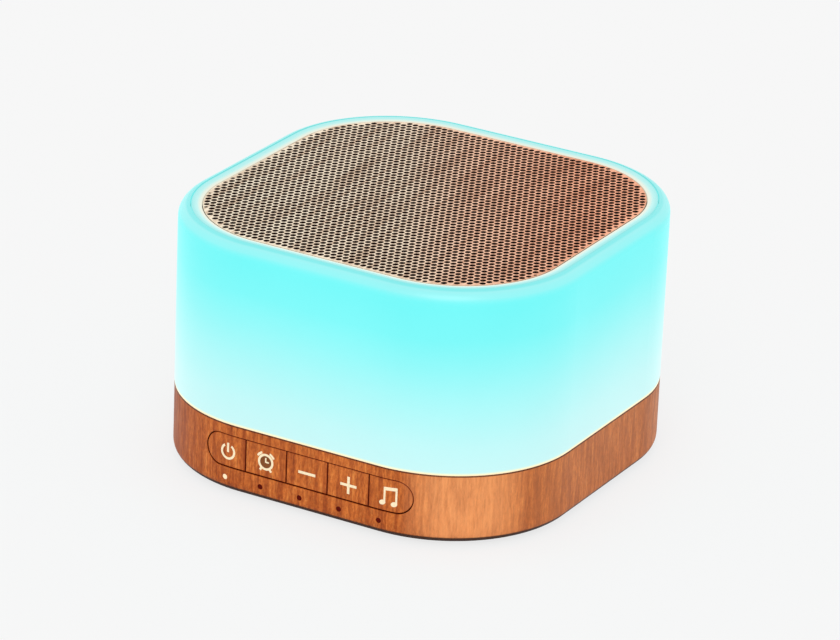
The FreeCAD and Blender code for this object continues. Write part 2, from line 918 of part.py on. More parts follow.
def battery_leads():
    """Two wires from the cell, round the front edge of the board and into its socket."""
    start_y = cell_y - cell_size[1] / 2
    low = cover_high + cell_pad + cell_size[2] / 2
    bend = (lead_z - low) / 2
    turn_y = start_y - bend
    wires = []
    for side in (-1, 1):
        x = -lead_x + side * lead_spacing / 2
        out = Part.makeLine(at(x, start_y, low), at(x, turn_y, low))
        around = Part.Arc(
            at(x, turn_y, low), at(x, turn_y - bend, low + bend), at(x, turn_y, lead_z)
        ).toShape()
        back = Part.makeLine(at(x, turn_y, lead_z), at(x, board_front + lead_socket_inset, lead_z))
        wires.append(wire_along([out, around, back], lead_radius))
    return wires


def terminal_low():
    return basket_low + spider_seat + terminal_rise


def speaker_leads():
    """Two wires from the board, up through the deck and the pod to the loudspeaker's tags."""
    bend = speaker_lead_bend
    wires = []
    for side in (-1, 1):
        x = lead_x + side * lead_spacing / 2
        start = at(x, board_front + lead_socket_inset, lead_z)
        turn = at(x, speaker_lead_y + bend, lead_z)
        middle = at(
            x,
            speaker_lead_y + bend - bend * math.sin(math.pi / 4),
            lead_z + bend - bend * math.cos(math.pi / 4),
        )
        rise = at(x, speaker_lead_y, lead_z + bend)
        top = at(x, speaker_lead_y, terminal_low())
        path = [Part.makeLine(start, turn), Part.Arc(turn, middle, rise).toShape()]
        path.append(Part.makeLine(rise, top))
        wires.append(wire_along(path, lead_radius))
    return wires


def led_board_lead():
    """Short four-core lead under the deck."""
    socket = light_lead_socket().BoundBox
    connector = light_board_connector().BoundBox
    y = 0.5 * light_connector_size[1] - led_lead_radius
    start = at(socket.XMin, socket.Center.y, led_lead_z)
    end = at(connector.XMax, y, led_lead_z)
    middle_x = (start.x + end.x) / 2
    half_step = (start.y - end.y) / 2
    reach = start.x - middle_x
    bend = (reach * reach + half_step * half_step) / (2 * half_step)
    half_angle = math.atan2(half_step, reach)
    first = at(
        start.x - bend * math.sin(half_angle),
        start.y - bend * (1 - math.cos(half_angle)),
        led_lead_z,
    )
    second = at(
        end.x + bend * math.sin(half_angle),
        end.y + bend * (1 - math.cos(half_angle)),
        led_lead_z,
    )
    centre = at(middle_x, (start.y + end.y) / 2, led_lead_z)
    path = [Part.Arc(start, first, centre).toShape(), Part.Arc(centre, second, end).toShape()]
    return wire_along(path, led_lead_radius)


def led_board():
    """Ring-shaped board that lights the shade from below."""
    high = base_high + light_board_thickness
    board = washer(light_board_outer, light_board_inner, base_high, high)
    for angle in leg_angles:
        x, y = polar(leg_circle, angle)
        board = board.cut(disc(leg_radius + leg_clearance, base_high, high, x, y))
    for angle in light_board_screws:
        x, y = polar(colour_led_circle, angle)
        board = board.cut(clearance_hole(small_screw, base_high, high, x, y))
    return board


def rgb_leds():
    """Colour-changing lights, evenly spaced and clear of the legs."""
    width, length, height = colour_led_size
    low = base_high + light_board_thickness
    body = block((-width / 2, -length / 2, 0), (width / 2, length / 2, height))
    lens = disc(0.4 * width, 0.75 * height, height)
    one = body.cut(lens).fuse(disc(0.4 * width, 0.75 * height, 0.95 * height))
    step = 360.0 / colour_led_count
    lights = []
    for k in range(colour_led_count):
        x, y = polar(colour_led_circle, (k + 0.5) * step)
        lights.append(placed(one, x, y, low, Z_AXIS, (k + 0.5) * step))
    return lights


def led_board_screws():
    one = screw(small_screw, light_board_screw_length)
    z = base_high + light_board_thickness
    places = [polar(colour_led_circle, angle) for angle in light_board_screws]
    return [placed(one, x, y, z, X_AXIS, 180) for x, y in places]


def speaker_pod():
    """White sealed cup behind the loudspeaker. It also reflects the light outward."""
    pod = disc(pod_radius, base_high, pod_high)
    pod = pod.cut(disc(pod_radius - pod_wall, base_high + pod_floor, pod_high))
    hole = disc(grommet_radius, base_high, base_high + pod_floor, lead_x, speaker_lead_y)
    return pod.cut(hole)


def pod_gasket():
    return washer(pod_radius, pod_radius - pod_wall, pod_high, baffle_low)


def pod_grommet():
    """Rubber seal round the loudspeaker's wires."""
    top = base_high + pod_floor
    x, y = lead_x, speaker_lead_y
    plug = disc(grommet_radius, base_high, top, x, y)
    flange = disc(grommet_radius + grommet_flange, top, top + grommet_flange_height, x, y)
    seal = plug.fuse(flange).removeSplitter()
    for side in (-1, 1):
        radius = lead_radius + grommet_clearance
        wire_x = x + side * lead_spacing / 2
        seal = seal.cut(disc(radius, base_high, top + grommet_flange_height, wire_x, y))
    return seal


def baffle_frame():
    """Black plate under the grille. Its legs reach down to the deck and clamp the shade."""
    inset = body_half - trim_outer
    frame = slab(inset, baffle_low, baffle_high)
    collar = disc(surround_outer + collar_width, collar_low, baffle_low)
    frame = frame.fuse(collar)
    for angle in ear_angles:
        x, y = polar(ear_circle, angle)
        frame = frame.fuse(disc(ear_radius, frame_high, baffle_low, x, y))
    frame = frame.cut(disc(surround_outer, collar_low, baffle_high))
    frame = frame.cut(disc(frame_radius - frame_lip + collar_width, frame_high, collar_low))
    for angle in ear_angles:
        x, y = polar(ear_circle, angle)
        tip = frame_low + speaker_screw_length
        frame = frame.cut(pilot(small_screw, frame_high, tip, x, y))
    for angle in leg_angles:
        x, y = polar(leg_circle, angle)
        frame = frame.fuse(disc(leg_radius, base_high, baffle_low, x, y))
        tip = deck_low + leg_screw_length + leg_hole_spare
        frame = frame.cut(pilot(big_screw, base_high, tip, x, y))
    return frame.removeSplitter()


def deck_screws():
    """Long screws up through the deck into the baffle's legs."""
    one = screw(big_screw, leg_screw_length)
    return [placed(one, x, y, deck_low) for x, y in (polar(leg_circle, a) for a in leg_angles)]


def shade():
    """Translucent sleeve with a rounded top edge and an inner ledge for the baffle."""
    body = slab(0, base_high, shade_high)
    body = rounded_loop(body, shade_high, shade_edge_radius)
    body = chamfered_loop(body, base_high, seam_chamfer)
    body = body.cut(slab(shade_wall, base_high, baffle_low - ledge_thickness))
    body = body.cut(slab(body_half - ledge_inner, base_high, baffle_low))
    return body.cut(slab(trim_inset, baffle_low, shade_high)).removeSplitter()


def trim_ring():
    """Milky ring between the shade's seam and the grille, sloping in to the grille."""
    outer = body_half - trim_outer
    inner = body_half - trim_inner
    high = baffle_high + trim_thickness
    body = slab(outer, baffle_high, high)
    body = body.cut(slab(inner, baffle_high, high))
    body = chamfered_loop_outer(body, high, outer)
    wedge = sloped_slab(inner, high - trim_slope, outer + trim_width / 3, high)
    return body.cut(wedge)


def chamfered_loop_outer(body, z, inset):
    """Breaks only the outer level edges at height z."""
    reach = body_half - inset
    edges = []
    for edge in level_edges(body, z):
        box = edge.BoundBox
        if max(abs(box.XMin), abs(box.XMax), abs(box.YMin), abs(box.YMax)) > reach - 0.01:
            edges.append(edge)
    return body.makeChamfer(seam_chamfer / 2, edges)


def acoustic_cloth():
    inset = body_half - grille_half
    return slab(inset, baffle_high, cloth_high)


def inside_field(x, y):
    """Whether a hole at x, y lies wholly inside the grille's perforated field."""
    inset = body_half - grille_half + grille_border + grille_hole_radius
    radius = corner_radius - inset
    over_x = max(abs(x) - corner_centre, 0.0)
    over_y = max(abs(y) - corner_centre, 0.0)
    return math.hypot(over_x, over_y) <= radius


def grille_holes(z):
    """Outlines of staggered round holes."""
    rows = int(2 * grille_half / grille_pitch) // 2
    holes = []
    for row in range(-rows, rows + 1):
        shift = grille_pitch / 2 if row % 2 else 0.0
        for column in range(-rows - 1, rows + 2):
            x = column * grille_pitch + shift
            y = row * grille_pitch
            if inside_field(x, y):
                circle = Part.makeCircle(grille_hole_radius, at(x, y, z))
                holes.append(Part.Wire([circle]))
    return holes


def grille():
    """Perforated wood-look sheet, flush inside the trim ring."""
    inset = body_half - grille_half
    sheet = rounded_loop(slab(inset, cloth_high, grille_high), grille_high, grille_edge)
    pins = [Part.Face(w).extrude(at(0, 0, grille_thickness)) for w in grille_holes(cloth_high)]
    return sheet.cut(Part.makeCompound(pins))


def speaker_gasket():
    outer = surround_outer + collar_width
    return washer(outer, surround_outer, collar_low - gasket_thickness, collar_low)


def speaker_surround():
    """Rubber half roll between cone and frame."""
    middle = cone_edge_radius + surround_roll
    flat = frame_high + surround_thickness / 2
    outer = half_roll(middle, surround_roll + surround_thickness / 2, flat)
    inner = half_roll(middle, surround_roll - surround_thickness / 2, flat)
    roll = outer.cut(inner)
    flat_high = frame_high + surround_thickness
    rim = washer(surround_outer + collar_width, roll_outer, frame_high, flat_high)
    lip = washer(cone_edge_radius, cone_edge_radius - cone_lip, frame_high, flat_high)
    return roll.fuse([rim, lip]).removeSplitter()


def half_roll(middle, radius, z):
    """Upper half of a ring with a round section."""
    whole = Part.makeTorus(middle, radius, at(0, 0, z))
    return whole.common(disc(middle + 2 * radius, z - surround_thickness / 2, z + 2 * radius))


def speaker_basket():
    """Pressed steel frame with ears, a windowed cone and a base for the spider."""
    thickness = frame_thickness
    mouth = basket_mouth_radius
    bore = coil_radius + basket_bore_gap
    frame = washer(frame_radius, mouth - thickness, frame_low, frame_high)
    for angle in ear_angles:
        x, y = polar(ear_circle, angle)
        frame = frame.fuse(disc(ear_radius, frame_low, frame_high, x, y))
    frame = frame.cut(disc(mouth - thickness, frame_low, frame_high))
    base = basket_base_radius
    step = base + basket_step
    seat = basket_low + thickness + spider_seat
    wall_profile = [
        (bore, basket_low),
        (base, basket_low),
        (base + thickness, seat - thickness),
        (step, seat - thickness),
        (mouth, frame_low),
        (mouth, frame_high),
        (mouth - thickness, frame_high),
        (step - thickness, seat),
        (base - basket_slip, seat),
        (base - thickness, basket_low + thickness),
        (bore, basket_low + thickness),
    ]
    frame = frame.fuse(revolved(wall_profile))
    frame = frame.cut(basket_windows(seat + window_margin, frame_low - window_margin))
    for angle in ear_angles:
        x, y = polar(ear_circle, angle)
        frame = frame.cut(clearance_hole(small_screw, frame_low, frame_high, x, y))
    return frame.removeSplitter()


def basket_windows(low, high):
    """Four sectors cut through the basket's side."""
    windows = []
    for centre in (0, 90, 180, 270):
        start = centre - basket_window_angle / 2
        outer = Part.makeCylinder(
            frame_radius, high - low, at(0, 0, low), Z_AXIS, basket_window_angle
        )
        outer.rotate(at(0, 0, 0), Z_AXIS, start)
        windows.append(outer)
    return windows


def cone_neck_z():
    return frame_high - cone_depth


def speaker_cone():
    """Paper cone with a flat edge under the surround and a collar round the coil."""
    neck = cone_neck_z()
    outer = coil_radius + coil_wall
    lip = cone_edge_radius - cone_lip
    return revolved(
        [
            (outer, neck),
            (outer + cone_thickness, neck),
            (lip + cone_thickness, frame_high - cone_thickness),
            (cone_edge_radius, frame_high - cone_thickness),
            (cone_edge_radius, frame_high),
            (lip, frame_high),
            (outer, neck + 1.6 * cone_thickness),
        ]
    )


def cone_height_at(radius):
    """Height of the cone's upper face at a radius."""
    low_r = coil_radius + coil_wall
    low_z = cone_neck_z() + 1.6 * cone_thickness
    high_r = cone_edge_radius - cone_lip
    return low_z + (radius - low_r) / (high_r - low_r) * (frame_high - low_z)


def dust_cap():
    """Shallow dome over the coil, glued to the cone's face."""
    rim = dust_cap_radius
    low = cone_height_at(rim)
    sphere_radius = (rim * rim + dust_cap_height * dust_cap_height) / (2 * dust_cap_height)
    centre = low + dust_cap_height - sphere_radius
    whole = Part.makeSphere(sphere_radius, at(0, 0, centre))
    inner = Part.makeSphere(sphere_radius - cone_thickness, at(0, 0, centre))
    return whole.cut(inner).common(disc(rim, low, low + 2 * dust_cap_height))


def voice_coil():
    """Paper tube with a copper winding at its lower end."""
    high = cone_neck_z() + 1.6 * cone_thickness
    low = high - coil_length
    former = washer(coil_radius + coil_wall, coil_radius, low, high)
    outer = coil_radius + coil_wall + winding_depth
    start = low + winding_low
    winding = washer(outer, coil_radius + coil_wall, start, start + winding_length)
    return former.fuse(winding).removeSplitter()


def spider_z():
    return basket_low + frame_thickness + spider_seat


def speaker_spider():
    """Corrugated disc that centres the coil."""
    inner = coil_radius + coil_wall
    outer = basket_base_radius + spider_rim
    low = spider_z()
    wave_start = inner + spider_flat
    wave_end = basket_base_radius - spider_edge
    step = (wave_end - wave_start) / (2 * spider_waves)
    under = [(inner, low), (wave_start, low)]
    for k in range(spider_waves):
        under.append((wave_start + (2 * k + 1) * step, low + spider_wave))
        under.append((wave_start + (2 * k + 2) * step, low))
    under.append((outer, low))
    over = [(r, z + spider_thickness) for r, z in reversed(under)]
    return revolved(under + over)


def top_plate():
    hole = coil_radius + coil_wall + winding_depth + magnet_gap
    return washer(basket_base_radius, hole, basket_low - top_plate_thickness, basket_low)


def magnet():
    high = basket_low - top_plate_thickness
    return washer(magnet_radius, magnet_inner_radius, high - magnet_thickness, high)


def yoke():
    """Back plate with the pole that stands inside the coil."""
    high = basket_low - top_plate_thickness - magnet_thickness
    plate = disc(basket_base_radius, high - back_plate_thickness, high)
    pole = disc(coil_radius - magnet_gap, high, basket_low)
    return plate.fuse(pole).removeSplitter()


def speaker_terminals():
    """Two solder tags on a strip, fixed to the basket's side above the wires."""
    width, depth, height = terminal_size
    low = terminal_low()
    angle = math.degrees(math.atan2(speaker_lead_y, lead_x))
    reach = math.hypot(lead_x, speaker_lead_y)
    end = reach + terminal_overhang
    strip = block((reach - depth, -width / 2, low), (end, width / 2, low + height))
    strip.rotate(at(0, 0, 0), Z_AXIS, angle)
    return strip.cut(basket_envelope())


def basket_envelope():
    """The basket's outer shape as a solid, so that what seats on it follows its side."""
    thickness = frame_thickness
    seat = basket_low + thickness + spider_seat
    base = basket_base_radius
    return revolved(
        [
            (0, basket_low),
            (base, basket_low),
            (base + thickness, seat - thickness),
            (base + basket_step, seat - thickness),
            (basket_mouth_radius, frame_low),
            (0, frame_low),
        ]
    )


def speaker_screws():
    one = screw(small_screw, speaker_screw_length)
    return [placed(one, x, y, frame_low) for x, y in (polar(ear_circle, a) for a in ear_angles)]


def pieces():
    """Every node's name and its solid or solids."""
    made = {
        "rubber_feet": feet(),
        "bottom_cover": bottom_cover(),
        "cover_screws": cover_screws(),
        "base_housing": base_housing(),
        "deck_plate": deck_plate(),
        "button_guide": button_guide(),
        "tact_switches": tact_switches(),
        "key_board": key_board(),
        "key_board_screws": key_board_screws(),
        "indicator_leds": indicator_leds(),
        "power_light_pipe": power_light_pipe(),
        "timer_light_pipes": timer_light_pipes(),
        "main_board": main_board(),
        "main_board_screws": main_board_screws(),
        "board_chips": board_chips(),
        "board_inductor": board_inductor(),
        "filter_capacitors": filter_capacitors(),
        "board_connectors": board_connectors(),
        "key_ribbon": key_ribbon(),
        "usb_socket": usb_socket(),
        "usb_tongue": usb_tongue_piece(),
        "battery_cell": battery_cell(),
        "battery_pad": battery_pad(),
        "battery_leads": battery_leads(),
        "speaker_leads": speaker_leads(),
        "led_board_lead": led_board_lead(),
        "led_board": led_board(),
        "rgb_leds": rgb_leds(),
        "led_board_screws": led_board_screws(),
        "speaker_pod": speaker_pod(),
        "pod_gasket": pod_gasket(),
        "pod_grommet": pod_grommet(),
        "baffle_frame": baffle_frame(),
        "deck_screws": deck_screws(),
        "shade": shade(),
        "trim_ring": trim_ring(),
        "acoustic_cloth": acoustic_cloth(),
        "grille": grille(),
        "speaker_gasket": speaker_gasket(),
        "speaker_surround": speaker_surround(),
        "speaker_basket": speaker_basket(),
        "speaker_cone": speaker_cone(),
        "dust_cap": dust_cap(),
        "voice_coil": voice_coil(),
        "speaker_spider": speaker_spider(),
        "top_plate": top_plate(),
        "magnet": magnet(),
        "yoke": yoke(),
        "speaker_terminals": speaker_terminals(),
        "speaker_screws": speaker_screws(),
    }
    for index, name in enumerate(button_names):
        made[name + "_button"] = button(index)
        made[name + "_plunger"] = plunger(index)
    return made


def main():
    os.makedirs("parts", exist_ok=True)
    for name, shape in pieces().items():
        solids = shape if isinstance(shape, list) else [shape]
        whole = Part.makeCompound(solids) if len(solids) > 1 else solids[0]
        count = len(whole.Solids)
        if not whole.isValid() or count == 0 or min(s.Volume for s in whole.Solids) <= 0:
            print("not a good solid:", name)
        print(f"{name}: {count} solid(s), {whole.Volume:.1f} mm3")
        whole.exportStep(f"parts/{name}.step")


main()
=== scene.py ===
"""Finish, lights and camera for a bedside sound machine with a glowing shade.

Lengths are in metres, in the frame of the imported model: +Z up, front at -Y.
"""

import json
import math

import bmesh
import bpy
from mathutils import Matrix, Vector

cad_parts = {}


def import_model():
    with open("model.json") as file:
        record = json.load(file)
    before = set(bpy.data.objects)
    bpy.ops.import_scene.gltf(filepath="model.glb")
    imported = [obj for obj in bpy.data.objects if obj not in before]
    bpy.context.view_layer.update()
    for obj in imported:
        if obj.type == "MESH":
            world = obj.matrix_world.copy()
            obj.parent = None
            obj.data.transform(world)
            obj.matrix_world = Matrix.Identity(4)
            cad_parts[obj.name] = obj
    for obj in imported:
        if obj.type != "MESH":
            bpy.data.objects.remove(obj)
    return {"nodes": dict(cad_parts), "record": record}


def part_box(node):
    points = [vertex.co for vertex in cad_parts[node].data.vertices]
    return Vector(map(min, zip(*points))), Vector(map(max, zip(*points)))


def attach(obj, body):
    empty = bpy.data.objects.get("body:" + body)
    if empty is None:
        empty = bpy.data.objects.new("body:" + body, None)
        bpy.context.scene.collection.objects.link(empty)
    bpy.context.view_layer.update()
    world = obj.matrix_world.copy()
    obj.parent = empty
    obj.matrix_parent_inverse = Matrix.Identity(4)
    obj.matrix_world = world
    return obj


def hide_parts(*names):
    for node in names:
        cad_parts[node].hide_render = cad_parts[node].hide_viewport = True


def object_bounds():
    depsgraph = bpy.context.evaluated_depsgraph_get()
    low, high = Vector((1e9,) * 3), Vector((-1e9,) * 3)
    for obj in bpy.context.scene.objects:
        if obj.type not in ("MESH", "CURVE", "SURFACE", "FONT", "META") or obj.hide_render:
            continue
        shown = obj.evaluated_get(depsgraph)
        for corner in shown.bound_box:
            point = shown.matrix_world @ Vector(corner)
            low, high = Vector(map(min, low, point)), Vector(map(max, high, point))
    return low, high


MM = 0.001

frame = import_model()
cad_low, cad_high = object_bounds()

# The body's outline, as the solids have it
CORNER_RADIUS = 31.5 * MM
BODY_HALF = (cad_high.x - cad_low.x) / 2
CORNER_CENTRE = BODY_HALF - CORNER_RADIUS
BASE_LOW, BASE_HIGH = (corner.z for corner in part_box("base_housing"))
SHADE_LOW, SHADE_HIGH = (corner.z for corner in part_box("shade"))

# The fine holes of the grille, a little longer along Y, and the field that they fill. The least
# hole is a share of a whole one.
HOLE_PITCH = 1.587 * MM
HOLE_HALF_WIDTH = 0.62 * MM
HOLE_HALF_LENGTH = 0.72 * MM
LEAST_HOLE = 0.45
HOLE_SIDES = 10
FIELD_HALF = 44.15 * MM
GRILLE_EDGE = 0.04 * MM

# Azimuths, in degrees, along which painted shade, a painted highlight and the grille's tint change
TOWARDS_FRONT = 29
HIGHLIGHT_AZIMUTH = 38
TOWARDS_RIGHT = 119

# Zones of the rim, as distances from the middle
TRIM_INNER = 44.6 * MM
TRIM_OUTER = 47.1 * MM
ROUNDING_START = 46.9 * MM

# Symbols printed on the keys
INK_LIFT = 0.02 * MM
INK_THICKNESS = 0.06 * MM
STROKE_STEP = 0.003 * MM

# The camera, fitted to the photograph
IMAGE_WIDTH = 840
SENSOR = 36.0
FOCAL_PIXELS = 4895.89
CAMERA_AZIMUTH = 29.330
CAMERA_ELEVATION = 22.636
CAMERA_ROLL = 2.406
CAMERA_DISTANCE = 1125.68 * MM
CAMERA_TARGET = Vector((6.128, -11.439, 37.038)) * MM

# Light
BACKGROUND = 0.935
AMBIENT = 0.80
SUN_STRENGTH = 0.9
SUN_AZIMUTH = 24.0
SUN_ELEVATION = 42.0
SUN_ANGLE = 40.0
FLOOR_SIZE = 8.0
FLOOR_VEIL = 0.82


def srgb(red, green, blue, alpha=1.0):
    """A colour given as 0 to 255 values, as the renderer's linear numbers."""
    def linear(value):
        share = value / 255
        return share / 12.92 if share <= 0.04045 else ((share + 0.055) / 1.055) ** 2.4
    return linear(red), linear(green), linear(blue), alpha


def direction(azimuth, elevation):
    """The unit vector towards an azimuth and an elevation in degrees. Azimuth 0 is the front."""
    a, e = math.radians(azimuth), math.radians(elevation)
    return Vector((math.sin(a) * math.cos(e), -math.cos(a) * math.cos(e), math.sin(e)))


# Node helpers


def new_material(name):
    """A material with an empty node tree and its output node."""
    made = bpy.data.materials.new(name)
    made.use_nodes = True
    tree = made.node_tree
    tree.nodes.clear()
    return made, tree, tree.nodes.new("ShaderNodeOutputMaterial")


def add(tree, kind, inputs=None, **settings):
    """A node with its settings, its values and its links."""
    made = tree.nodes.new(kind)
    for name, value in settings.items():
        setattr(made, name, value)
    for socket, value in (inputs or {}).items():
        if isinstance(value, bpy.types.NodeSocket):
            tree.links.new(value, made.inputs[socket])
        else:
            made.inputs[socket].default_value = value
    return made


def ramp(tree, factor, stops, interpolation="LINEAR"):
    """A colour ramp's output. stops are (position, colour) pairs."""
    made = add(tree, "ShaderNodeValToRGB", {"Fac": factor})
    made.color_ramp.interpolation = interpolation
    elements = made.color_ramp.elements
    while len(elements) < len(stops):
        elements.new(0.5)
    for element, (position, colour) in zip(elements, stops):
        element.position = position
        element.color = colour
    return made.outputs["Color"]


def mix(tree, factor, first, second, blend="MIX"):
    made = add(
        tree, "ShaderNodeMix", {0: factor, 6: first, 7: second}, data_type="RGBA", blend_type=blend
    )
    return made.outputs[2]


def grade(tree, value, low, high, to_low=0.0, to_high=1.0):
    """value mapped from low..high to to_low..to_high, and held at the ends."""
    made = add(
        tree,
        "ShaderNodeMapRange",
        {"Value": value, "From Min": low, "From Max": high, "To Min": to_low, "To Max": to_high},
    )
    return made.outputs["Result"]


def calculate(tree, operation, first, second=0.0):
    made = add(tree, "ShaderNodeMath", {0: first, 1: second}, operation=operation)
    return made.outputs["Value"]


def place(tree):
    """The point on the object, in the object's own frame."""
    return add(tree, "ShaderNodeTexCoord").outputs["Object"]


def axes(tree, point):
    """X, Y and Z of a point."""
    return add(tree, "ShaderNodeSeparateXYZ", {"Vector": point}).outputs


def noise(tree, point, size, stretch=(1, 1, 1), detail=3.0, roughness=0.5):
    """Noise whose features are about size metres across, longer along an axis by stretch."""
    scale = [1 / (size * s) for s in stretch]
    mapped = add(tree, "ShaderNodeMapping", {"Vector": point, "Scale": scale})
    made = add(
        tree,
        "ShaderNodeTexNoise",
        {"Vector": mapped.outputs["Vector"], "Scale": 1.0, "Detail": detail, "Roughness": roughness},
    )
    return made.outputs["Fac"]


def reach(tree, point):
    """How far out a point is: the half width of the rounded square that passes through it."""
    whole = add(tree, "ShaderNodeVectorMath", {0: point}, operation="ABSOLUTE").outputs[0]
    past = (CORNER_CENTRE, CORNER_CENTRE, 1.0)
    over = add(tree, "ShaderNodeVectorMath", {0: whole, 1: past}, operation="SUBTRACT").outputs[0]
    kept = add(tree, "ShaderNodeVectorMath", {0: over, 1: (0, 0, 0)}, operation="MAXIMUM").outputs[0]
    length = add(tree, "ShaderNodeVectorMath", {0: kept}, operation="LENGTH").outputs["Value"]
    return calculate(tree, "ADD", length, CORNER_CENTRE)


def bump(tree, height, distance, strength=1.0):
    made = add(
        tree, "ShaderNodeBump", {"Height": height, "Distance": distance, "Strength": strength}
    )
    return made.outputs["Normal"]


def surface(name, colour, inputs, shade=0.12, size=3 * MM, grain=0.25 * MM, relief=0.01 * MM):
    """A moulded, pressed or printed surface: its colour drifts a little and it has a fine relief."""
    made, tree, output = new_material(name)
    point = place(tree)
    darker = tuple(c * (1 - shade) for c in colour[:3]) + (1.0,)
    drift = ramp(tree, noise(tree, point, size), [(0.3, darker), (0.7, colour)])
    normal = bump(tree, noise(tree, point, grain, detail=2.0), relief)
    shader = add(tree, "ShaderNodeBsdfPrincipled", {"Base Color": drift, "Normal": normal, **inputs})
    tree.links.new(shader.outputs[0], output.inputs["Surface"])
    return made


# Materials of the outside


def wood_colour(tree, point):
    """Straight upright grain: broad bands, veins, fine streaks, flecks and short dark pores."""
    broad = noise(tree, point, 5 * MM, (1, 1, 5), detail=2.0)
    streak = noise(tree, point, 0.8 * MM, (1, 1, 7), detail=5.0, roughness=0.75)
    pore = noise(tree, point, 0.3 * MM, (1, 1, 5), detail=2.0)
    base = ramp(
        tree,
        streak,
        [
            (0.3, srgb(170, 85, 31)),
            (0.45, srgb(208, 111, 44)),
            (0.56, srgb(223, 125, 53)),
            (0.7, srgb(244, 156, 78)),
        ],
    )
    tint = ramp(tree, broad, [(0.3, srgb(230, 218, 206)), (0.65, srgb(255, 253, 250))])
    grain = mix(tree, 0.7, base, tint, "MULTIPLY")
    fleck = noise(tree, point, 0.6 * MM, (1, 1, 2), detail=4.0, roughness=0.7)
    mottle = ramp(tree, fleck, [(0.36, srgb(216, 204, 192)), (0.6, srgb(255, 255, 255))])
    grain = mix(tree, 0.9, grain, mottle, "MULTIPLY")
    vein = noise(tree, point, 1.3 * MM, (1, 1, 12), detail=1.0)
    veined = ramp(tree, vein, [(0.4, srgb(212, 190, 172)), (0.56, srgb(255, 255, 255))])
    grain = mix(tree, 0.8, grain, veined, "MULTIPLY")
    dark = grade(tree, pore, 0.58, 0.70, 0.0, 0.45)
    return mix(tree, dark, grain, srgb(120, 52, 20)), streak


def towards(tree, point, azimuth):
    """How far a point lies towards an azimuth."""
    aim = tuple(direction(azimuth, 0))
    made = add(tree, "ShaderNodeVectorMath", {0: point, 1: aim}, operation="DOT_PRODUCT")
    return made.outputs["Value"]


def painted_corner_highlight(tree, point):
    """A painted highlight where the front turns the corner to the right."""
    return grade(tree, towards(tree, point, HIGHLIGHT_AZIMUTH), 53.8 * MM, 57.0 * MM)


def wood_print():
    """Satin film with a straight wood grain, with painted shade at its two rims and inside its
    slots.

    Painted shade makes it redder at the left. It is paler at the right, and a painted highlight
    makes it paler where the front turns the corner.
    """
    made, tree, output = new_material("wood_print")
    point = place(tree)
    colour, streak = wood_colour(tree, point)
    x, _, z = axes(tree, point)
    side = grade(tree, x, 38 * MM, 49 * MM, 0.0, 0.35)
    colour = mix(tree, side, colour, srgb(206, 134, 84))
    # Painted shade: the left end redder and darker
    left = grade(tree, x, -26 * MM, -40 * MM, 0.0, 0.5)
    colour = mix(tree, left, colour, srgb(150, 66, 16))
    # Painted highlight at the front corner, broken into stripes along the grain
    stripe = grade(tree, streak, 0.35, 0.65, 0.5, 0.85)
    lit = calculate(tree, "MULTIPLY", painted_corner_highlight(tree, point), stripe)
    colour = mix(tree, lit, colour, srgb(246, 163, 102))
    # Painted shade: a dark line along the top rim, at the seam with the shade
    top = grade(tree, z, BASE_HIGH - 0.5 * MM, BASE_HIGH - 0.35 * MM, 0.0, 0.85)
    # Painted shade: a dark line along the bottom rim, above the floor
    low = grade(tree, z, BASE_LOW + 1.85 * MM, BASE_LOW + 1.5 * MM, 0.0, 0.95)
    above = calculate(tree, "GREATER_THAN", z, BASE_LOW + 3 * MM)
    # Painted shade in the gaps round the keys, below the face
    slot_shade = grade(tree, reach(tree, point), BODY_HALF - 0.24 * MM, BODY_HALF - 0.14 * MM, 1.0, 0.0)
    slot_shade = calculate(tree, "MULTIPLY", slot_shade, above)
    colour = mix(tree, top, colour, srgb(70, 28, 14))
    colour = mix(tree, low, colour, srgb(34, 12, 6))
    colour = mix(tree, slot_shade, colour, srgb(124, 34, 12))
    rough = grade(tree, streak, 0.3, 0.7, 0.5, 0.38)
    normal = bump(tree, streak, 0.02 * MM)
    shader = add(
        tree,
        "ShaderNodeBsdfPrincipled",
        {"Base Color": colour, "Roughness": rough, "Normal": normal, "Specular IOR Level": 0.2},
    )
    tree.links.new(shader.outputs[0], output.inputs["Surface"])
    return made


def glow(name, light, body, roughness, relief=0.004 * MM):
    """A translucent moulding lit from inside. light and body make its two colours from the point."""
    made, tree, output = new_material(name)
    point = place(tree)
    normal = bump(tree, noise(tree, point, 0.4 * MM, detail=2.0), relief)
    shader = add(
        tree,
        "ShaderNodeBsdfPrincipled",
        {
            "Base Color": body(tree, point),
            "Roughness": roughness,
            "Emission Color": light(tree, point),
            "Emission Strength": 1.0,
            "Normal": normal,
            "IOR": 1.46,
        },
    )
    tree.links.new(shader.outputs[0], output.inputs["Surface"])
    return made


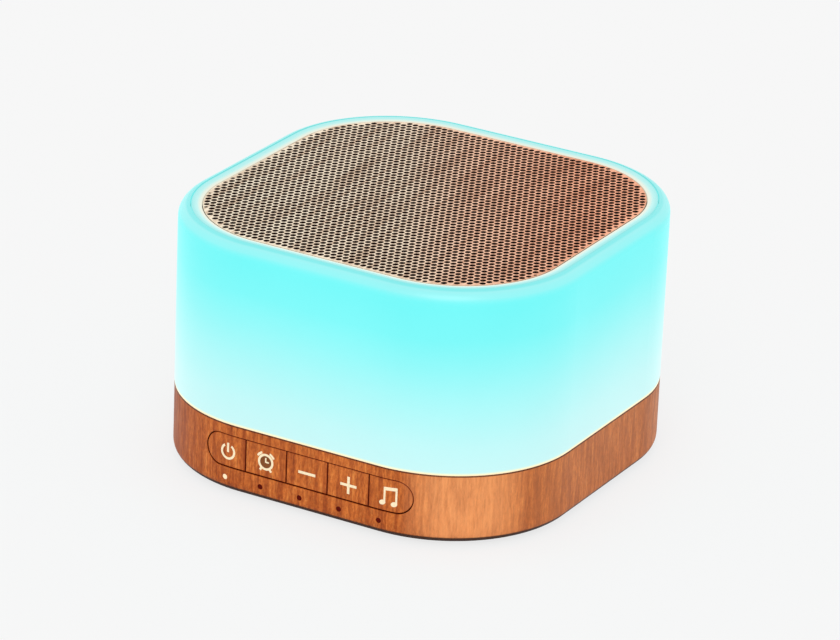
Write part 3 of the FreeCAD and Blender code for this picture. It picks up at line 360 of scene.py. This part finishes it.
def shade_light(tree, point):
    """Cyan light, strongest at the top, paler towards the base and cream along the seam."""
    z = axes(tree, point)["Z"]
    share = grade(tree, z, SHADE_LOW, SHADE_HIGH)
    wander = calculate(tree, "MULTIPLY", noise(tree, point, 45 * MM, detail=1.0), 0.06)
    share = calculate(tree, "ADD", share, calculate(tree, "SUBTRACT", wander, 0.03))
    side = ramp(
        tree,
        share,
        [
            (0.0, srgb(181, 196, 196)),
            (0.16, srgb(171, 196, 196)),
            (0.39, srgb(143, 196, 196)),
            (0.58, srgb(110, 196, 196)),
            (0.74, srgb(76, 196, 196)),
            (0.9, srgb(60, 196, 196)),
        ],
    )
    edge = calculate(tree, "GREATER_THAN", z, SHADE_HIGH - 4 * MM)
    out = grade(tree, reach(tree, point), ROUNDING_START, BODY_HALF)
    # On the rounding at the top: a painted highlight band, with a painted dark line of shade inside
    # it
    rounding_highlight_and_shade = ramp(
        tree,
        out,
        [
            (0.0, srgb(92, 172, 172)),
            (0.35, srgb(86, 176, 176)),
            (0.5, srgb(124, 186, 186)),
            (0.85, srgb(112, 190, 190)),
            (1.0, srgb(60, 196, 196)),
        ],
    )
    # Painted shade: the rounding darker teal towards the back
    back = grade(tree, towards(tree, point, TOWARDS_FRONT), 10 * MM, -25 * MM, 0.0, 0.75)
    rounding_highlight_and_shade = mix(tree, back, rounding_highlight_and_shade, srgb(96, 166, 164))
    seam = grade(tree, z, SHADE_LOW + 0.75 * MM, SHADE_LOW + 0.35 * MM, 0.0, 0.85)
    side = mix(tree, seam, side, srgb(222, 202, 160))
    return mix(tree, edge, side, rounding_highlight_and_shade)


def shade_body(tree, point):
    drift = noise(tree, point, 30 * MM)
    return ramp(tree, drift, [(0.3, srgb(92, 163, 163)), (0.7, srgb(98, 167, 167))])


def trim_light(tree, point):
    """Pale cream beside the grille, cyan beside the shade."""
    return ramp(
        tree,
        grade(tree, reach(tree, point), TRIM_INNER, TRIM_OUTER),
        [
            (0.0, srgb(192, 190, 172)),
            (0.18, srgb(184, 192, 178)),
            (0.45, srgb(138, 194, 191)),
            (1.0, srgb(112, 184, 183)),
        ],
    )


def trim_body(tree, point):
    return ramp(
        tree,
        grade(tree, reach(tree, point), TRIM_INNER, TRIM_OUTER),
        [(0.0, srgb(150, 150, 140)), (0.45, srgb(132, 150, 148)), (1.0, srgb(88, 145, 145))],
    )


def seam_light(tree, point):
    drift = noise(tree, point, 12 * MM)
    return ramp(tree, drift, [(0.3, srgb(226, 208, 168)), (0.7, srgb(232, 216, 180))])


def seam_body(tree, point):
    drift = noise(tree, point, 5 * MM)
    return ramp(tree, drift, [(0.3, srgb(150, 138, 112)), (0.7, srgb(156, 146, 118))])


def grille_print():
    """Wood-look film on the perforated sheet: beige at the left, red-brown at the right.

    Round the holes runs a plain lip, with painted shade towards the back and the left.
    Under the film, painted shade makes the sides of the sheet and of its holes near black.
    """
    made, tree, output = new_material("grille_print")
    point = place(tree)
    x, _, z = axes(tree, point)
    across = towards(tree, point, TOWARDS_RIGHT)
    tint = ramp(
        tree,
        grade(tree, across, -40 * MM, 44 * MM),
        [
            (0.0, srgb(252, 238, 214)),
            (0.42, srgb(250, 228, 202)),
            (0.6, srgb(254, 206, 175)),
            (0.9, srgb(254, 182, 146)),
        ],
    )
    streak = noise(tree, point, 0.9 * MM, (1, 26, 1), detail=2.0)
    grain = ramp(tree, streak, [(0.38, srgb(206, 184, 168)), (0.55, srgb(255, 253, 250))])
    field = mix(tree, 0.7, tint, grain, "MULTIPLY")
    side = grade(tree, x, 20 * MM, 42 * MM)
    lip = ramp(tree, side, [(0.0, srgb(232, 220, 192)), (1.0, srgb(222, 178, 146))])
    # Painted shade: the lip darker brown towards the back and the left
    back = grade(tree, towards(tree, point, TOWARDS_FRONT), 0.0, -20 * MM, 0.0, 0.75)
    lip = mix(tree, back, lip, srgb(126, 84, 60))
    rim = grade(tree, reach(tree, point), FIELD_HALF, FIELD_HALF + 0.3 * MM)
    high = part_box("grille")[1].z
    top = grade(tree, z, high - 0.1 * MM, high - 0.05 * MM)
    colour = mix(tree, rim, field, lip)
    # Painted shade: below the film the sheet and the walls of its holes are near black
    colour = mix(tree, top, srgb(34, 12, 4), colour)
    normal = bump(tree, streak, 0.01 * MM)
    shader = add(
        tree,
        "ShaderNodeBsdfPrincipled",
        {"Base Color": colour, "Roughness": 0.5, "Normal": normal, "Specular IOR Level": 0.2},
    )
    tree.links.new(shader.outputs[0], output.inputs["Surface"])
    return made


def weave(name, warp, weft, thread):
    """Plain weave: two crossed sets of threads."""
    made, tree, output = new_material(name)
    point = place(tree)
    waves = []
    for axis in ("X", "Y"):
        wave = add(
            tree,
            "ShaderNodeTexWave",
            {"Vector": point, "Scale": 0.314 / thread, "Distortion": 0.6, "Detail": 1.0},
            bands_direction=axis,
        )
        waves.append(wave.outputs["Fac"])
    over = calculate(tree, "MAXIMUM", *waves)
    colour = mix(tree, calculate(tree, "GREATER_THAN", *waves), warp, weft)
    dark = mix(tree, over, (0.0, 0.0, 0.0, 1.0), colour)
    shader = add(
        tree,
        "ShaderNodeBsdfPrincipled",
        {
            "Base Color": dark,
            "Roughness": 0.9,
            "Normal": bump(tree, over, 0.05 * MM),
            "Specular IOR Level": 0.05,
        },
    )
    tree.links.new(shader.outputs[0], output.inputs["Surface"])
    return made


def printed_board(name, mask, copper):
    """Solder mask over copper tracks that show as slightly lighter lines."""
    made, tree, output = new_material(name)
    point = place(tree)
    mapped = add(tree, "ShaderNodeMapping", {"Vector": point, "Scale": (400, 400, 400)})
    track = add(
        tree,
        "ShaderNodeTexVoronoi",
        {"Vector": mapped.outputs["Vector"], "Scale": 1.0, "Randomness": 0.35},
        distance="MANHATTAN",
        feature="DISTANCE_TO_EDGE",
    )
    line = grade(tree, track.outputs["Distance"], 0.05, 0.09, 1.0, 0.0)
    shader = add(
        tree,
        "ShaderNodeBsdfPrincipled",
        {
            "Base Color": mix(tree, line, mask, copper),
            "Roughness": 0.35,
            "Normal": bump(tree, line, 0.02 * MM),
        },
    )
    tree.links.new(shader.outputs[0], output.inputs["Surface"])
    return made


def lamp(name, colour, strength, roughness=0.25):
    """A small lit lens, a little brighter in the middle of each grain of its moulding."""
    def light(tree, point):
        dim = tuple(c * 0.85 for c in colour[:3]) + (1.0,)
        return ramp(tree, noise(tree, point, 0.5 * MM), [(0.3, dim), (0.7, colour)])
    made = glow(name, light, light, roughness)
    shader = made.node_tree.nodes["Principled BSDF"]
    shader.inputs["Emission Strength"].default_value = strength
    return made


def outside_materials():
    """Material of each record slot that shows from outside."""
    return {
        "wood_print": wood_print(),
        "glowing_shade": glow("glowing_shade", shade_light, shade_body, 0.32),
        "milky_trim": glow("milky_trim", trim_light, trim_body, 0.3),
        "grille_print": grille_print(),
        "acoustic_cloth": weave("acoustic_cloth", srgb(20, 10, 6), srgb(14, 7, 4), 0.25 * MM),
        "lit_pipe": lamp("lit_pipe", srgb(250, 228, 190), 0.3),
        "dark_pipe": surface(
            "dark_pipe",
            srgb(92, 14, 5),
            {"Roughness": 0.5, "Specular IOR Level": 0.05},
            relief=0.003 * MM,
        ),
        "foot_rubber": surface("foot_rubber", srgb(38, 38, 38), {"Roughness": 0.75}),
        "base_plastic": surface(
            "base_plastic", srgb(112, 58, 36), {"Roughness": 0.5}, grain=0.3 * MM, relief=0.03 * MM
        ),
        "socket_metal": surface(
            "socket_metal", srgb(196, 196, 196), {"Metallic": 1.0, "Roughness": 0.25}
        ),
        "tongue_plastic": surface("tongue_plastic", srgb(28, 28, 30), {"Roughness": 0.4}),
    }


def inside_materials():
    """Material of each record slot that only shows when the object is taken apart."""
    steel = {"Metallic": 1.0, "Roughness": 0.32}
    return {
        "screw_steel": surface("screw_steel", srgb(178, 178, 176), steel, size=0.8 * MM),
        "plate_steel": surface("plate_steel", srgb(170, 170, 166), steel, size=4 * MM),
        "white_plastic": surface("white_plastic", srgb(236, 237, 235), {"Roughness": 0.4}, 0.04),
        "dark_plastic": surface("dark_plastic", srgb(30, 30, 31), {"Roughness": 0.5}),
        "switch_plastic": surface("switch_plastic", srgb(40, 40, 42), {"Roughness": 0.4}),
        "plunger_plastic": surface("plunger_plastic", srgb(168, 52, 38), {"Roughness": 0.4}),
        "circuit_board": printed_board("circuit_board", srgb(18, 82, 46), srgb(42, 112, 66)),
        "light_board": printed_board("light_board", srgb(232, 234, 232), srgb(214, 214, 208)),
        "indicator_led": surface("indicator_led", srgb(236, 230, 205), {"Roughness": 0.2}),
        "chip_black": surface("chip_black", srgb(34, 34, 36), {"Roughness": 0.6}, grain=0.1 * MM),
        "capacitor_can": surface("capacitor_can", srgb(196, 197, 200), steel),
        "connector_plastic": surface("connector_plastic", srgb(226, 220, 200), {"Roughness": 0.45}),
        "ribbon_film": surface("ribbon_film", srgb(228, 228, 218), {"Roughness": 0.35}, 0.05),
        "cell_wrap": surface("cell_wrap", srgb(196, 198, 202), {"Metallic": 0.9, "Roughness": 0.42}),
        "foam_pad": surface("foam_pad", srgb(60, 60, 60), {"Roughness": 0.95}, relief=0.1 * MM),
        "black_foam": surface("black_foam", srgb(30, 30, 30), {"Roughness": 0.95}, relief=0.1 * MM),
        "lead_red": surface("lead_red", srgb(178, 28, 22), {"Roughness": 0.4}),
        "lead_black": surface("lead_black", srgb(28, 28, 28), {"Roughness": 0.4}),
        "lead_grey": surface("lead_grey", srgb(120, 120, 122), {"Roughness": 0.45}),
        "colour_led": lamp("colour_led", srgb(120, 246, 246), 1.0),
        "surround_rubber": surface("surround_rubber", srgb(30, 30, 31), {"Roughness": 0.65}),
        "basket_steel": surface("basket_steel", srgb(38, 38, 40), {"Roughness": 0.4}),
        "cone_paper": surface(
            "cone_paper", srgb(56, 54, 52), {"Roughness": 0.9}, grain=0.5 * MM, relief=0.06 * MM
        ),
        "coil_copper": surface(
            "coil_copper", srgb(196, 122, 62), {"Metallic": 0.8, "Roughness": 0.35}, grain=0.15 * MM
        ),
        "spider_cloth": weave("spider_cloth", srgb(206, 170, 92), srgb(190, 152, 78), 0.3 * MM),
        "magnet_ferrite": surface("magnet_ferrite", srgb(62, 62, 66), {"Roughness": 0.55}),
        "terminal_board": surface("terminal_board", srgb(150, 108, 56), {"Roughness": 0.6}),
    }


def dress_nodes(materials):
    """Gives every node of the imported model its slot's material."""
    for part in frame["record"]["subparts"]:
        data = frame["nodes"][part["node"]].data
        data.materials.clear()
        data.materials.append(materials[part["material_slot"]])


# Pieces


def outline(half, z=0.0, steps=24):
    """Points round the body's rounded square at a half width, anticlockwise."""
    radius = CORNER_RADIUS - (BODY_HALF - half)
    points = []
    for quarter in range(4):
        turn = math.pi / 2 * quarter
        centre = Matrix.Rotation(turn, 3, "Z") @ Vector((CORNER_CENTRE, CORNER_CENTRE, 0))
        for step in range(steps + 1):
            angle = turn + math.pi / 2 * step / steps
            points.append(centre + Vector((math.cos(angle), math.sin(angle), 0)) * radius)
    return [Vector((p.x, p.y, z)) for p in points]


def finish_piece(name, mesh, material, body="root"):
    piece = bpy.data.objects.new(name, mesh)
    bpy.context.scene.collection.objects.link(piece)
    mesh.materials.clear()
    mesh.materials.append(material)
    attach(piece, body)
    return piece


def hole_places():
    """Centre and scale of each hole. Every other row is moved by half a pitch.

    Where a whole hole would pass the field's edge, a smaller one stands.
    """
    rows = int(FIELD_HALF / HOLE_PITCH) + 1
    for row in range(-rows, rows + 1):
        for column in range(-rows - 1, rows + 2):
            x = (column + 0.5 * (row % 2)) * HOLE_PITCH
            y = row * HOLE_PITCH
            over = Vector((max(abs(x) - CORNER_CENTRE, 0), max(abs(y) - CORNER_CENTRE, 0)))
            room = FIELD_HALF - CORNER_CENTRE - over.length
            scale = min(room / HOLE_HALF_LENGTH, 1)
            if scale > LEAST_HOLE:
                yield x, y, scale


def fill_between(curve, points):
    spline = curve.splines.new("POLY")
    spline.points.add(len(points) - 1)
    spline.use_cyclic_u = True
    for target, point in zip(spline.points, points):
        target.co = (point[0], point[1], 0, 1)


def perforated_grille(material):
    """The sheet with its real fine holes, in the place of the solid that has coarser ones."""
    low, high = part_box("grille")
    curve = bpy.data.curves.new("grille_outline", "CURVE")
    curve.dimensions = "2D"
    curve.fill_mode = "BOTH"
    curve.bevel_depth = GRILLE_EDGE
    curve.bevel_resolution = 0
    curve.offset = -GRILLE_EDGE
    curve.extrude = (high.z - low.z) / 2 - GRILLE_EDGE
    fill_between(curve, outline(high.x))
    for x, y, scale in hole_places():
        # The rounding of the edges takes twice its depth off the drawn hole
        half_x = scale * HOLE_HALF_WIDTH + 2 * GRILLE_EDGE
        half_y = scale * HOLE_HALF_LENGTH + 2 * GRILLE_EDGE
        corners = []
        for side in range(HOLE_SIDES):
            angle = -2 * math.pi * (side + 0.5) / HOLE_SIDES
            corners.append((x + half_x * math.cos(angle), y + half_y * math.sin(angle)))
        fill_between(curve, corners)
    holder = bpy.data.objects.new("grille_outline", curve)
    bpy.context.scene.collection.objects.link(holder)
    mesh = bpy.data.meshes.new_from_object(
        holder.evaluated_get(bpy.context.evaluated_depsgraph_get())
    )
    bpy.data.objects.remove(holder)
    mesh.transform(Matrix.Translation((0, 0, (low.z + high.z) / 2)))
    piece = finish_piece("perforated_grille", mesh, material)
    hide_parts("grille")
    return piece


def seam_band(material):
    """Thin lit line where the shade meets the base."""
    half_low, half_high = BODY_HALF - 0.9 * MM, BODY_HALF - 0.03 * MM
    z_low, z_high = BASE_HIGH - 0.05 * MM, BASE_HIGH + 0.34 * MM
    loops = [
        outline(half_low, z_low),
        outline(half_high, z_low),
        outline(half_high, z_high),
        outline(half_low, z_high),
    ]
    count = len(loops[0])
    faces = []
    for ring in range(4):
        after = (ring + 1) % 4
        for k in range(count):
            nxt = (k + 1) % count
            faces.append(
                (ring * count + k, ring * count + nxt, after * count + nxt, after * count + k)
            )
    mesh = bpy.data.meshes.new("seam_band")
    mesh.from_pydata([p for loop in loops for p in loop], [], faces)
    mesh.update()
    return finish_piece("seam_band", mesh, material)


# Symbols on the keys. A symbol is a list of strokes, and a stroke a list of polygons in X and Z,
# in millimetres.

# X, radius and line width of the clock on its key
CLOCK = (-10.85, 2.05, 0.56)


def band(x, z, inner, outer, start, end, steps=28):
    """Part of a ring, from one angle to another in degrees."""
    shapes = []
    for k in range(steps):
        corners = []
        for radius, share in ((outer, k), (outer, k + 1), (inner, k + 1), (inner, k)):
            angle = math.radians(start + (end - start) * share / steps)
            corners.append((x + radius * math.cos(angle), z + radius * math.sin(angle)))
        shapes.append(corners)
    return shapes


def blob(x, z, long_radius, short_radius, tilt=0.0, sides=20):
    """A filled ellipse."""
    corners = []
    for k in range(sides):
        angle = 2 * math.pi * k / sides
        u, v = long_radius * math.cos(angle), short_radius * math.sin(angle)
        c, s = math.cos(math.radians(tilt)), math.sin(math.radians(tilt))
        corners.append((x + u * c - v * s, z + u * s + v * c))
    return [corners]


def bar(start, end, width, pieces=6):
    """A straight stroke, cut into short lengths so that it can follow a curved face."""
    along = Vector(end) - Vector(start)
    across = Vector((-along.y, along.x)).normalized() * width / 2
    shapes = []
    for k in range(pieces):
        first = Vector(start) + along * k / pieces
        second = Vector(start) + along * (k + 1) / pieces
        shapes.append([first - across, second - across, second + across, first + across])
    return shapes


def power_symbol(z):
    x, radius, line = -21.05, 2.0, 0.56
    return [
        band(x, z, radius - line, radius, 122, 418), bar((x, z - 0.15), (x, z + 2.15), line)
    ]


def clock_face(z):
    """The dark disc behind the clock's hands."""
    x, radius, _ = CLOCK
    return [blob(x, z, radius - 0.1, radius - 0.1, sides=32)]


def clock_symbol(z):
    x, radius, line = CLOCK
    strokes = [
        band(x, z, radius - line, radius, 0, 360, 40),
        bar((x, z - 0.15), (x, z + 1.05), 0.36),
        bar((x, z), (x + 0.85, z), 0.36),
    ]
    for side in (1, -1):
        bell = 90 - side * 42
        strokes.append(band(x, z, radius + 0.12, radius + 0.65, bell - 18, bell + 18, 8))
        foot = math.radians(-90 + side * 34)
        out = Vector((math.cos(foot), math.sin(foot)))
        centre = Vector((x, z))
        strokes.append(bar(centre + out * (radius - 0.1), centre + out * (radius + 0.6), line))
    return strokes


def minus_symbol(z):
    return [bar((-2.15, z), (2.35, z), 0.65)]


def plus_symbol(z):
    x, arm, width = 11.08, 2.12, 0.65
    return [bar((x - arm, z), (x + arm, z), width), bar((x, z - arm), (x, z + arm), width)]


def notes_symbol(z):
    left, right, low, high, slant = 20.5, 23.4, z - 1.7, z + 1.9, 0.3
    stems = [bar((left, low), (left, high), 0.46), bar((right, low), (right, high + slant), 0.46)]
    beam = bar((left - 0.2, high - 0.2), (right + 0.2, high + slant - 0.2), 0.8, 8)
    heads = [blob(x - 0.5, low - 0.05, 0.8, 0.6, 20) for x in (left, right)]
    return stems + [beam] + heads


def key_y(x):
    """The keys' front at an X: straight, then round the corner."""
    over = max(abs(x) - CORNER_CENTRE, 0)
    radius = -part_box("volume_down_button")[0].y - CORNER_CENTRE
    return -CORNER_CENTRE - math.sqrt(radius**2 - over**2)


def symbol(name, strokes, material, body, low=INK_LIFT):
    """Ink on a key: the strokes laid on the curved front face, each a hair above the one before."""
    mesh = bpy.data.meshes.new(name)
    ink = bmesh.new()
    for order, shapes in enumerate(strokes):
        lift = low + order * STROKE_STEP
        for corners in shapes:
            points = [(x * MM, z * MM) for x, z in corners]
            rim = [ink.verts.new((x, key_y(x) - lift, z)) for x, z in points]
            ink.faces.new(rim)
    bmesh.ops.remove_doubles(ink, verts=ink.verts, dist=0.001 * MM)
    bmesh.ops.recalc_face_normals(ink, faces=ink.faces)
    for face in ink.faces:
        if face.normal.y > 0:
            face.normal_flip()
    ink.to_mesh(mesh)
    ink.free()
    piece = finish_piece(name, mesh, material, body)
    thick = piece.modifiers.new("thickness", "SOLIDIFY")
    thick.thickness = INK_THICKNESS
    thick.offset = -1
    return piece


def key_symbols(material, dark):
    """The five symbols, halfway up their keys, and the dark disc of the clock."""
    low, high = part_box("power_button")
    middle = (low.z + high.z) / 2 / MM - 0.15
    drawn = {
        "power": power_symbol(middle),
        "timer": clock_symbol(middle),
        "volume_down": minus_symbol(middle),
        "volume_up": plus_symbol(middle),
        "sound": notes_symbol(middle),
    }
    symbol("timer_face", clock_face(middle), dark, "timer_key", INK_LIFT / 2)
    for key, strokes in drawn.items():
        symbol(key + "_symbol", strokes, material, key + "_key")


# Camera, lights and floor


def camera():
    data = bpy.data.cameras.new("camera")
    data.sensor_width = SENSOR
    data.lens = FOCAL_PIXELS * SENSOR / IMAGE_WIDTH
    data.clip_start, data.clip_end = 0.05, 50.0
    made = bpy.data.objects.new("camera", data)
    back = direction(CAMERA_AZIMUTH, CAMERA_ELEVATION)
    right = (-back).cross(Vector((0, 0, 1))).normalized()
    up = right.cross(-back)
    roll = math.radians(CAMERA_ROLL)
    turned_right = right * math.cos(roll) + up * math.sin(roll)
    turned_up = up * math.cos(roll) - right * math.sin(roll)
    turn = Matrix((turned_right, turned_up, back)).transposed()
    made.matrix_world = Matrix.Translation(CAMERA_TARGET + back * CAMERA_DISTANCE) @ turn.to_4x4()
    bpy.context.scene.collection.objects.link(made)
    bpy.context.scene.camera = made


def world():
    """Plain even light, which the camera, gloss and glass see as the pale background."""
    made = bpy.data.worlds.new("world")
    bpy.context.scene.world = made
    made.use_nodes = True
    tree = made.node_tree
    tree.nodes.clear()
    path = add(tree, "ShaderNodeLightPath").outputs
    seen = calculate(tree, "MAXIMUM", path["Is Camera Ray"], path["Is Glossy Ray"])
    seen = calculate(tree, "MAXIMUM", seen, path["Is Transmission Ray"])
    strength = grade(tree, seen, 0.0, 1.0, AMBIENT, BACKGROUND)
    light = add(
        tree, "ShaderNodeBackground", {"Color": (1.0, 1.0, 1.0, 1.0), "Strength": strength}
    )
    output = add(tree, "ShaderNodeOutputWorld")
    tree.links.new(light.outputs[0], output.inputs["Surface"])


def sun():
    data = bpy.data.lights.new("sun", "SUN")
    data.energy = SUN_STRENGTH
    data.angle = math.radians(SUN_ANGLE)
    made = bpy.data.objects.new("sun", data)
    made.rotation_euler = direction(SUN_AZIMUTH, SUN_ELEVATION).to_track_quat("Z", "Y").to_euler()
    bpy.context.scene.collection.objects.link(made)


def floor():
    """Large pale floor under the feet."""
    half = FLOOR_SIZE / 2
    mesh = bpy.data.meshes.new("floor")
    corners = [(-half, -half, 0), (half, -half, 0), (half, half, 0), (-half, half, 0)]
    mesh.from_pydata(corners, [], [(0, 1, 2, 3)])
    made = bpy.data.objects.new("floor", mesh)
    made.location.z = cad_low.z
    bpy.context.scene.collection.objects.link(made)
    material, tree, output = new_material("floor")
    shader = add(tree, "ShaderNodeBsdfDiffuse", {"Color": (0.91, 0.91, 0.91, 1.0)})
    pale = add(tree, "ShaderNodeEmission", {"Color": (1.0, 1.0, 1.0, 1.0), "Strength": BACKGROUND})
    seen = add(tree, "ShaderNodeLightPath").outputs["Is Camera Ray"]
    veil = calculate(tree, "MULTIPLY", seen, FLOOR_VEIL)
    blend = add(tree, "ShaderNodeMixShader", {0: veil, 1: shader.outputs[0], 2: pale.outputs[0]})
    tree.links.new(blend.outputs[0], output.inputs["Surface"])
    mesh.materials.append(material)


def build():
    materials = {**outside_materials(), **inside_materials()}
    dress_nodes(materials)
    perforated_grille(materials["grille_print"])
    seam_band(glow("seam_light", seam_light, seam_body, 0.4))
    matt = {"Roughness": 0.7, "Specular IOR Level": 0.05}
    # The printed symbols glow faintly: painted light
    glowing_ink = lamp("symbol_ink", srgb(248, 230, 192), 0.12, 0.5)
    key_symbols(glowing_ink, surface("dark_ink", srgb(134, 80, 44), matt))
    camera()
    world()
    sun()
    floor()
    bpy.context.scene.view_settings.view_transform = "Standard"


build()
